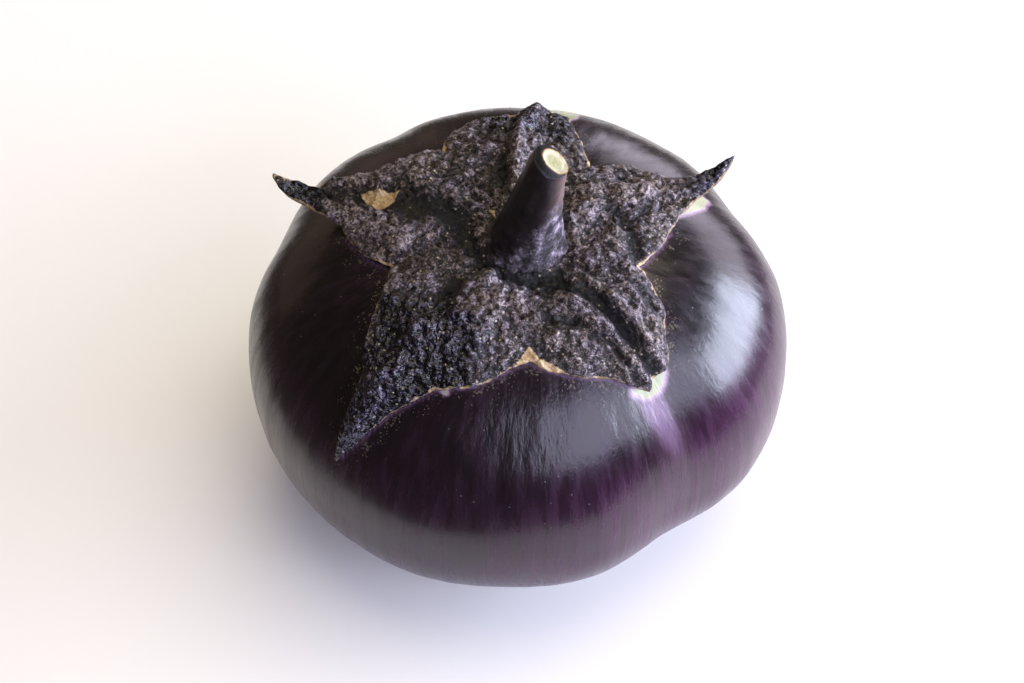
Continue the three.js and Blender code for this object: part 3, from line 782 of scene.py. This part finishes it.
def stem_material(stem):
    """Eggplant stalk: woody, dark as the skin and duller, with small pale pores, browner on its
    right side, and felted with grey-violet hairs where it spreads on the calyx."""
    material, tree, shader = new_material("dark_stalk_bark")
    place = add_node(tree, "ShaderNodeTexCoord").outputs["Object"]
    felted, browned = (
        add_node(tree, "ShaderNodeAttribute", attribute_name=name).outputs["Fac"]
        for name in ("felted", "browned"))

    # Bark with a fibre of 0.7 mm and dark blotches of 5 mm, pale pores 1.6 mm apart, and hairs
    # matted into patches of 2.6 mm
    grain = add_node(tree, "ShaderNodeTexNoise", {
        "Vector": place, "Scale": 1 / (0.7 * MM), "Detail": 5, "Roughness": 0.8}).outputs["Fac"]
    blotch = add_node(tree, "ShaderNodeTexNoise", {
        "Vector": place, "Scale": 1 / (5 * MM), "Detail": 3}).outputs["Fac"]
    bark = add_node(tree, "ShaderNodeValToRGB", {"Fac": blotch}, stops=[
        (0.35, "#0d090c"), (0.55, "#140e13"), (0.7, "#221820")]).outputs["Color"]
    brown_side = add_node(tree, "ShaderNodeMath", {0: grain, 1: browned}, operation="MULTIPLY").outputs[0]
    brown_side = add_node(tree, "ShaderNodeMath", {0: brown_side, 1: 1.5}, operation="MULTIPLY").outputs[0]
    bark = add_node(tree, "ShaderNodeMix", {
        "Factor": brown_side, 6: bark, 7: stem.brown_side_colour}, data_type="RGBA").outputs[2]
    pore = add_node(tree, "ShaderNodeTexVoronoi", {
        "Vector": place, "Scale": 1 / (1.6 * MM)}).outputs["Distance"]
    pore = add_node(tree, "ShaderNodeMapRange", {
        "Value": pore, "From Min": 0.08, "From Max": 0.12, "To Min": 0.3, "To Max": 0.0}).outputs[0]
    bark = add_node(tree, "ShaderNodeMix", {
        "Factor": pore, 6: bark, 7: linear("#7d7370")}, data_type="RGBA").outputs[2]
    patch = add_node(tree, "ShaderNodeTexNoise", {
        "Vector": place, "Scale": 1 / (2.6 * MM), "Detail": 3}).outputs["Fac"]
    hairs = add_node(tree, "ShaderNodeMath", {
        0: patch, 1: 1.1, 2: -0.55}, operation="MULTIPLY_ADD").outputs[0]
    hairs = add_node(tree, "ShaderNodeMath", {0: hairs, 1: grain}, operation="ADD").outputs[0]
    hairs = add_node(tree, "ShaderNodeValToRGB", {"Fac": hairs}, stops=[
        (0.3, "#120e10"), (0.46, "#3a3238"), (0.6, "#6f6470"), (0.74, "#b0a4b4")]).outputs["Color"]
    cover = add_node(tree, "ShaderNodeMath", {
        0: grain, 1: 0.8, 2: -0.4}, operation="MULTIPLY_ADD").outputs[0]
    cover = add_node(tree, "ShaderNodeMath", {0: cover, 1: felted}, operation="ADD").outputs[0]
    cover = add_node(tree, "ShaderNodeMapRange", {
        "Value": cover, "From Min": 0.2, "From Max": 0.75}).outputs[0]
    colour = add_node(tree, "ShaderNodeMix", {
        "Factor": cover, 6: bark, 7: hairs}, data_type="RGBA").outputs[2]
    tree.links.new(colour, shader.inputs["Base Color"])
    rough = add_node(tree, "ShaderNodeMapRange", {
        "Value": cover, "To Min": 0.4, "To Max": 0.75}).outputs[0]
    tree.links.new(rough, shader.inputs["Roughness"])
    lift = add_node(tree, "ShaderNodeMapRange", {
        "Value": cover, "To Min": 0.08, "To Max": 0.9}).outputs[0]
    normal = add_node(tree, "ShaderNodeBump", {
        "Height": grain, "Strength": lift, "Distance": 0.8 * MM}).outputs["Normal"]
    tree.links.new(normal, shader.inputs["Normal"])
    return material


def cut_material():
    """Freshly cut stalk: cream wood round pale green pith, with a brown line and dark skin round it."""
    material, tree, shader = new_material("cut_stalk_wood")
    place = add_node(tree, "ShaderNodeTexCoord").outputs["Object"]
    rings = add_node(tree, "ShaderNodeAttribute", attribute_name="rings").outputs["Fac"]
    fibre = add_node(tree, "ShaderNodeTexNoise", {
        "Vector": place, "Scale": 1 / (0.7 * MM), "Detail": 4, "Roughness": 0.7}).outputs["Fac"]
    ring = add_node(tree, "ShaderNodeMath", {
        0: fibre, 1: 0.22, 2: -0.11}, operation="MULTIPLY_ADD").outputs[0]
    ring = add_node(tree, "ShaderNodeMath", {0: ring, 1: rings}, operation="ADD").outputs[0]
    ring = add_node(tree, "ShaderNodeMath", {0: ring, 1: 0.8}, operation="MULTIPLY").outputs[0]
    colour = add_node(tree, "ShaderNodeValToRGB", {"Fac": ring}, stops=[
        (0.1, "#87875f"), (0.4, "#8e8c6a"), (0.52, "#a39c82"), (0.7, "#ada68d"),
        (0.78, "#8f7746"), (0.84, "#22171a"), (0.9, "#0c080b")]).outputs["Color"]
    tree.links.new(colour, shader.inputs["Base Color"])
    normal = add_node(tree, "ShaderNodeBump", {
        "Height": fibre, "Strength": 0.6, "Distance": 0.3 * MM}).outputs["Normal"]
    tree.links.new(normal, shader.inputs["Normal"])
    shader.inputs["Roughness"].default_value = 0.5
    shader.inputs["Specular IOR Level"].default_value = 0.15
    return material


class EGGPLANT_OT_fruit(bpy.types.Operator):
    """Build the fruit with its furrows, hollow, resting spot and blossom scar."""
    bl_idname = "eggplant.fruit"
    bl_label = "Build Fruit"

    def execute(self, context):
        fruit = context.scene.eggplant_fruit
        stand = standing_matrix(fruit)
        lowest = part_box("fruit")[0][2]
        pressed = 0.12 * MM

        def streaks(azimuth, down_share, reach):
            """Points whose noise is about tenfold as long down the skin as round it."""
            return around(azimuth, 0.5 * fruit.half_width + 0.5 * reach, down_share * 12 * MM)

        def shape(round_share, down_share):
            """The skin with shallow dents and combed bands, pressed flat where it rests."""
            azimuth = 360 * round_share
            points = skin_points(fruit, azimuth, down_share)
            outward = points / np.maximum(np.linalg.norm(points, axis=1, keepdims=True), 1 * MM)
            bands = streaks(azimuth, down_share, np.hypot(points[:, 0], points[:, 1]))
            dents = 0.25 * MM * wander(points, 24 * MM, 2, 5.3)
            combing = 0.11 * MM * wander(bands, 6 * MM, 2, 9.1)
            points = placed(points + (dents + combing)[:, None] * outward, stand)
            points[:, 2] = lowest + pressed * np.logaddexp(0, (points[:, 2] - lowest) / pressed)
            return points

        piece, round_share, down_share = moulded("eggplant_fruit", fruit.columns, fruit.rows, shape)
        azimuth = 360 * round_share
        own = skin_points(fruit, azimuth, down_share)
        reach = np.hypot(own[:, 0], own[:, 1])
        plan = own[:, :2]
        upper = down_share < 0.5
        store(piece, "meridian", streaks(azimuth, down_share, reach))

        # Along the calyx's edge the skin is a little paler, and dusted. A raised lobe counts only
        # as far as it lies on the skin
        line = edge_line()
        edge_radius = np.minimum(line[:, 1], line[:, 2] + 2 * MM)
        on_skin = around(line[:, 0], edge_radius, skin_height(fruit, line[:, 0], edge_radius))
        near = upper & (reach < 62 * MM)
        distance = np.full(len(own), FAR)
        distance[near] = nearest(own[near], on_skin)
        bare = 0.32 * bump(distance, 0.5 * MM) + 0.06 * bump(distance, 2.4 * MM)
        for halo, outline in BARE_SKIN:
            outside = -inside_by(plan, outline)
            ring = np.where(outside < 0, 1, 0.66 * smooth(-outside, -halo * MM, 0))
            bare = np.maximum(bare, np.where(upper, ring, 0))
        # The streak below the front right lobe: pale skin, partly a painted highlight, joined to the
        # bare skin
        lilac_streak_highlight = 0.42 * bump(distance_to_path(plan, LILAC_STREAK_AND_HIGHLIGHT), 3.4 * MM)
        lilac_streak_highlight = lilac_streak_highlight * smooth(-reach, -55 * MM, -43 * MM)
        store(piece, "bare", np.maximum(bare, np.where(upper, lilac_streak_highlight, 0)))
        store(piece, "dusted", 0.3 * bump(distance, 4.5 * MM) - 0.01)

        # Flushed purple on the front right, faintly on the front, and all round below
        low = np.where(upper, smooth(reach, 47 * MM, 57 * MM), 1)
        blush = bump(turn(azimuth, 308), 34) * smooth(reach, 42 * MM, 54 * MM)
        blush = blush + 0.1 * bump(turn(azimuth, 265), 50) + 0.6 * low
        store(piece, "blush", np.clip(blush, 0, 1))
        store(piece, "combed", bump(turn(azimuth, 295), 42))
        store(piece, "scar", np.where(upper, 0, 0.8 * smooth(-reach, -5 * MM, -2.2 * MM)))

        piece.data.materials.append(skin_material(fruit))
        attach(piece, "root")
        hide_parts("fruit")
        return {"FINISHED"}


class EGGPLANT_OT_calyx(bpy.types.Operator):
    """Build the dried calyx with its torn lobes, folds and wrinkles."""
    bl_idname = "eggplant.calyx"
    bl_label = "Build Calyx"

    def execute(self, context):
        fruit = context.scene.eggplant_fruit
        calyx = context.scene.eggplant_calyx
        stem = context.scene.eggplant_stem
        stand = standing_matrix(fruit)
        edge = resampled_edge(calyx.columns)
        rows = calyx.upper_rows + calyx.under_rows
        layers = {}

        def shape(round_share, down_share):
            """Over the lobes from the middle to the torn edge, and back to the middle below."""
            column = np.rint(round_share * calyx.columns).astype(int) % calyx.columns
            azimuth, edge_radius, lift, curl = (values[column] for values in edge)
            row = down_share * rows
            upper = row <= calyx.upper_rows
            outward = np.where(upper, row / calyx.upper_rows, (rows - row) / calyx.under_rows)
            outward = np.clip(outward, 0, 1) ** 0.75
            radius = edge_radius * outward
            points = lobe_points(fruit, azimuth, radius, lift, curl)
            normals = lobe_normals(fruit, azimuth, radius, lift, curl)
            plan = points[:, :2]

            # Wrinkles: knobbly lumps, sharp creases between them, and ridges along the lobes
            clear = smooth(from_foot(stem, plan), 0, 2.5 * MM)
            folds = 1.2 * fold_heights(plan) * clear
            lumps = wander(points, 6 * MM, 2, 1.7)
            creases = 1.8 * np.abs(wander(points, 3.6 * MM, 3, 6.4)) - 0.45
            pebbles = wander(points, 1.15 * MM, 2, 8.2)
            from_middle = np.array([turn(azimuth, middle) for middle in LOBE_MIDDLES])
            nearest_middle = np.abs(from_middle).argmin(axis=0)
            arc = radius * np.radians(from_middle[nearest_middle, np.arange(len(azimuth))])
            ridges = wander(np.stack([arc, radius / 9, 0 * arc], axis=1), 1.7 * MM, 2, 3.3)
            ridged = np.maximum(bump(turn(azimuth, 311), 26) * smooth(radius, 11 * MM, 18 * MM),
                                0.6 * smooth(radius, 34 * MM, 42 * MM))
            fine = calyx.wrinkle * (0.85 * lumps + 1.1 * (1 - 0.6 * ridged) * creases
                                    + 0.4 * pebbles + 1.1 * ridged * ridges)
            swell = np.sqrt(np.clip(1 - outward ** 4, 0, 1))
            thickness = calyx.edge + (calyx.middle - calyx.edge) * swell
            relief = (folds + fine * (0.45 + 0.55 * clear)) * (1 - 0.45 * outward ** 6)
            raised = np.maximum(thickness + relief, calyx.thinnest)
            layers.update(plan=plan, upper=upper, raised=0.55 * folds + fine)
            points = points + normals * (calyx.gap + np.where(upper, raised, 0))[:, None]
            layers["own"] = points
            return placed(points, stand)

        piece, _, _ = moulded("eggplant_calyx", calyx.columns, rows, shape)

        own, plan = layers["own"], layers["plan"]
        half_edge = 0.5 * calyx.edge
        rim = lobe_points(fruit, *edge) + lobe_normals(fruit, *edge) * (calyx.gap + half_edge)
        near = np.linalg.norm(plan, axis=1) > 15 * MM
        distance = np.full(len(own), FAR)
        distance[near] = np.maximum(nearest(own[near], rim) - half_edge, 0)
        store(piece, "edge_distance", distance)
        tan = np.max([inside_by(plan, outline) for outline in TAN_FLAPS], axis=0)
        store(piece, "tan", np.where(layers["upper"], tan, 1 * MM))
        # Relief height, from which the felt gets painted light on its ridges and painted shade in its
        # hollows
        store(piece, "raised", layers["raised"])
        azimuth = np.degrees(np.arctan2(plan[:, 1], plan[:, 0]))
        reach = np.linalg.norm(plan, axis=1)
        leathery = sum(
            bump(turn(azimuth, centre), spread) * smooth(reach, start * MM, full * MM)
            for centre, spread, start, full in LEATHERY_ENDS)
        store(piece, "leathery", np.clip(leathery, 0, 1))
        # Painted shade that darkens the felt along the creased-in folds
        store(piece, "fold_shade", fold_shade_shares(plan))

        piece.data.materials.append(calyx_material(calyx))
        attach(piece, "root")
        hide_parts("calyx")
        return {"FINISHED"}


class EGGPLANT_OT_stem(bpy.types.Operator):
    """Build the stem with its flared foot and slanting pale cut."""
    bl_idname = "eggplant.stem"
    bl_label = "Build Stem"

    def execute(self, context):
        fruit = context.scene.eggplant_fruit
        calyx = context.scene.eggplant_calyx
        stem = context.scene.eggplant_stem
        stand = standing_matrix(fruit)
        rows = stem.face_rows + stem.rows + stem.under_rows
        top = np.array(stem.top)
        facing = cut_facing(stem)
        layers = {}

        def shape(round_share, down_share):
            """From the middle of the cut over its rim, down the side and in under the foot."""
            row = np.rint(down_share * rows)
            angle = 360 * round_share
            share = np.clip(row / stem.face_rows, 0, 1)
            down = np.clip((row - stem.face_rows) / stem.rows, 0, 1)
            along = cut_along(fruit, calyx, stem, angle) * (1 - down)
            side = stem_side(fruit, calyx, stem, angle, along)
            ribs = (0.14 * MM * np.cos(np.radians(5 * angle + 20))
                    + 0.08 * MM * np.cos(np.radians(9 * angle)))
            knobs = 0.6 * MM * wander(side, 2.2 * MM, 3, 7.7) * smooth(-along, -0.3, 0)
            rough = 0.16 * MM * wander(side, 3 * MM, 3, 4.4) + ribs * (1 - 0.7 * along) + knobs
            side = side + around(angle, 1, 0) * rough[:, None]

            # The pale cut lies off the middle; left of it the skin rolls over in a soft shoulder
            across = share[:, None] * (side - top)
            face = top + across
            rings, rim_rings = pale_rings(across), pale_rings(side - top)
            shoulder = 1.4 * MM * smooth(rim_rings, 1.1, 1.8)
            roll = smooth(rings, 1.0, np.maximum(rim_rings, 1.02)) ** 1.5
            from_nub = np.hypot(across[:, 0] - 2.7 * MM, across[:, 1] + 1.5 * MM)
            dish = -0.3 * MM * (1 - smooth(rings, 0.7, 1.0))
            dish = dish + 0.1 * MM * wander(across, 0.8 * MM, 3, 2.2)
            dish = dish + 0.5 * MM * bump(from_nub, 0.8 * MM)
            face = face + facing * (dish * (1 - smooth(rings, 1.0, 1.1)) - shoulder * roll)[:, None]
            side = side - facing * (shoulder * (1 - smooth(down, 0, 0.22)))[:, None]

            below = np.clip((row - stem.face_rows - stem.rows) / stem.under_rows, 0, 1)
            foot = np.append(np.array(stem.foot), 0)
            sole = foot + (side - foot) * (1 - below)[:, None]
            sole[:, 2] = seat_height(fruit, calyx, sole[:, :2]) - SETTLED
            points = np.where((below > 0)[:, None], sole, side)
            points = np.where((row < stem.face_rows)[:, None], face, points)
            layers.update(rings=rings, share=share, along=along, angle=angle)
            return placed(points, stand)

        piece, _, _ = moulded("eggplant_stem", stem.columns, rows, shape)
        along, angle, share = layers["along"], layers["angle"], layers["share"]
        store(piece, "rings", layers["rings"])

        # Felt covers the foot and climbs highest on the front right; the side is browner toward the
        # right
        toward_front = (0.5 + 0.5 * np.cos(np.radians(angle - 330))) ** 1.5
        foot_felt = smooth(-along, -0.24, -0.06) * (0.3 + 0.7 * toward_front)
        climbing = smooth(0.78 * toward_front - along, -0.12, 0.5)
        store(piece, "felted", np.maximum(climbing, foot_felt))
        store(piece, "browned", bump(turn(angle, 350), 38) * smooth(along, 0.1, 0.5))

        piece.data.materials.append(stem_material(stem))
        piece.data.materials.append(cut_material())
        for polygon in piece.data.polygons:
            polygon.material_index = int(min(share[index] for index in polygon.vertices) < 1)
        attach(piece, "root")
        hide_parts("stem")
        return {"FINISHED"}


def soft_light(name, azimuth, elevation, distance, size, radiance, colour):
    """A rectangular soft light that faces the fruit, given by the radiance it shows."""
    lamp = bpy.data.lights.new(name, "AREA")
    lamp.shape = "RECTANGLE"
    lamp.size, lamp.size_y = size
    lamp.energy = radiance * math.pi * size[0] * size[1]
    lamp.color = linear(colour)[:3]
    light = bpy.data.objects.new(name, lamp)
    level = math.cos(math.radians(elevation))
    direction = Vector((*(level * around(azimuth, 1, 0)[:2]), math.sin(math.radians(elevation))))
    light.location = Vector((0, 0, LIT_HEIGHT)) + direction * distance
    light.rotation_euler = direction.to_track_quat("Z", "Y").to_euler()
    light.visible_camera = False
    bpy.context.scene.collection.objects.link(light)


def stage_piece(name, radius, middle, material, seen_by_all):
    """A round sheet of the stage, or a ball round the whole of it where it has no middle. One
    that isn't seen by all is there for the camera alone: it gives no light, casts no shadow and
    shows in no mirror image."""
    shape = bmesh.new()
    if middle is None:
        bmesh.ops.create_uvsphere(shape, u_segments=48, v_segments=24, radius=radius)
    else:
        bmesh.ops.create_circle(shape, cap_ends=True, segments=96, radius=radius)
        bmesh.ops.translate(shape, verts=shape.verts, vec=middle)
    mesh = bpy.data.meshes.new(name)
    shape.to_mesh(mesh)
    shape.free()
    piece = bpy.data.objects.new(name, mesh)
    piece.data.materials.append(material)
    bpy.context.scene.collection.objects.link(piece)
    for ray in ("visible_diffuse", "visible_glossy", "visible_transmission", "visible_shadow"):
        setattr(piece, ray, seen_by_all)


def paper_material(stage):
    """Smooth white paper: matt and nearly without gloss."""
    material, _, shader = new_material("matt_white_paper")
    shader.inputs["Base Color"].default_value = stage.paper_colour
    shader.inputs["Roughness"].default_value = 0.8
    shader.inputs["Specular IOR Level"].default_value = 0.1
    return material


def backdrop_material():
    """An evenly lit pale wall."""
    material, tree, shader = new_material("lit_pale_wall")
    tree.nodes.remove(shader)
    glow = add_node(tree, "ShaderNodeEmission", {
        "Color": linear("#f8f7f4"), "Strength": 1.0}).outputs[0]
    tree.links.new(glow, tree.nodes["Material Output"].inputs["Surface"])
    return material


class EGGPLANT_OT_stage(bpy.types.Operator):
    """Set the pale floor, the soft lights, the world and the camera."""
    bl_idname = "eggplant.stage"
    bl_label = "Set Stage"

    def execute(self, context):
        stage = context.scene.eggplant_stage
        fruit = context.scene.eggplant_fruit
        stand = standing_matrix(fruit)

        # Only the sheet round the fruit shows in its skin: past it the room is dim
        paper = paper_material(stage)
        room = 4
        stage_piece("stage_sheet", stage.sheet, (18 * MM, 70 * MM, -0.15 * MM), paper, True)
        stage_piece("stage_floor", room, (0, 0, -0.05 * MM), paper, False)
        stage_piece("stage_wall", room, None, backdrop_material(), False)
        for name, settings in LIGHTS.items():
            soft_light(name, *settings)

        world = bpy.data.worlds.new("dim_room")
        world.use_nodes = True
        backdrop = world.node_tree.nodes["Background"]
        backdrop.inputs["Color"].default_value = linear("#ffecd2")
        backdrop.inputs["Strength"].default_value = 0.12
        context.scene.world = world
        context.scene.view_settings.view_transform = "Standard"

        # The photograph's middle lies a little left of the fruit's and above it
        camera = bpy.data.cameras.new("camera")
        camera.sensor_width = 36
        camera.lens = stage.lens
        viewer = bpy.data.objects.new("camera", camera)
        up = Vector((0, math.sin(stage.elevation), math.cos(stage.elevation)))
        back = Vector((0, -math.cos(stage.elevation), math.sin(stage.elevation)))
        aim_right, aim_up = -1.22 * MM, 4.62 * MM
        aim = Vector((aim_right, 0, 0)) + aim_up * up
        viewer.location = stand.translation + aim + stage.distance * back
        viewer.rotation_euler = back.to_track_quat("Z", "Y").to_euler()
        context.scene.collection.objects.link(viewer)
        context.scene.camera = viewer
        return {"FINISHED"}


class EGGPLANT_PT_panel(bpy.types.Panel):
    """Lists the eggplant's pieces and their sizes."""
    bl_idname = "EGGPLANT_PT_panel"
    bl_label = "Eggplant"
    bl_space_type = "VIEW_3D"
    bl_region_type = "UI"
    bl_category = "Eggplant"

    def draw(self, context):
        for group, operator in SECTIONS:
            box = self.layout.box()
            box.operator(operator)
            settings = getattr(context.scene, group)
            for name in settings.bl_rna.properties.keys():
                if name not in ("rna_type", "name"):
                    box.prop(settings, name)


SECTIONS = [
    ("eggplant_fruit", "eggplant.fruit"),
    ("eggplant_calyx", "eggplant.calyx"),
    ("eggplant_stem", "eggplant.stem"),
    ("eggplant_stage", "eggplant.stage"),
]

CLASSES = [
    FruitSettings, CalyxSettings, StemSettings, StageSettings,
    EGGPLANT_OT_fruit, EGGPLANT_OT_calyx, EGGPLANT_OT_stem, EGGPLANT_OT_stage, EGGPLANT_PT_panel,
]


def register():
    for item in CLASSES:
        bpy.utils.register_class(item)
    bpy.types.Scene.eggplant_fruit = PointerProperty(type=FruitSettings)
    bpy.types.Scene.eggplant_calyx = PointerProperty(type=CalyxSettings)
    bpy.types.Scene.eggplant_stem = PointerProperty(type=StemSettings)
    bpy.types.Scene.eggplant_stage = PointerProperty(type=StageSettings)


def unregister():
    for group, _ in SECTIONS:
        delattr(bpy.types.Scene, group)
    for item in reversed(CLASSES):
        bpy.utils.unregister_class(item)


def main():
    """Build every piece and the stage."""
    register()
    bpy.ops.eggplant.stage()
    bpy.ops.eggplant.fruit()
    bpy.ops.eggplant.calyx()
    bpy.ops.eggplant.stem()


if __name__ == "__main__":
    main()
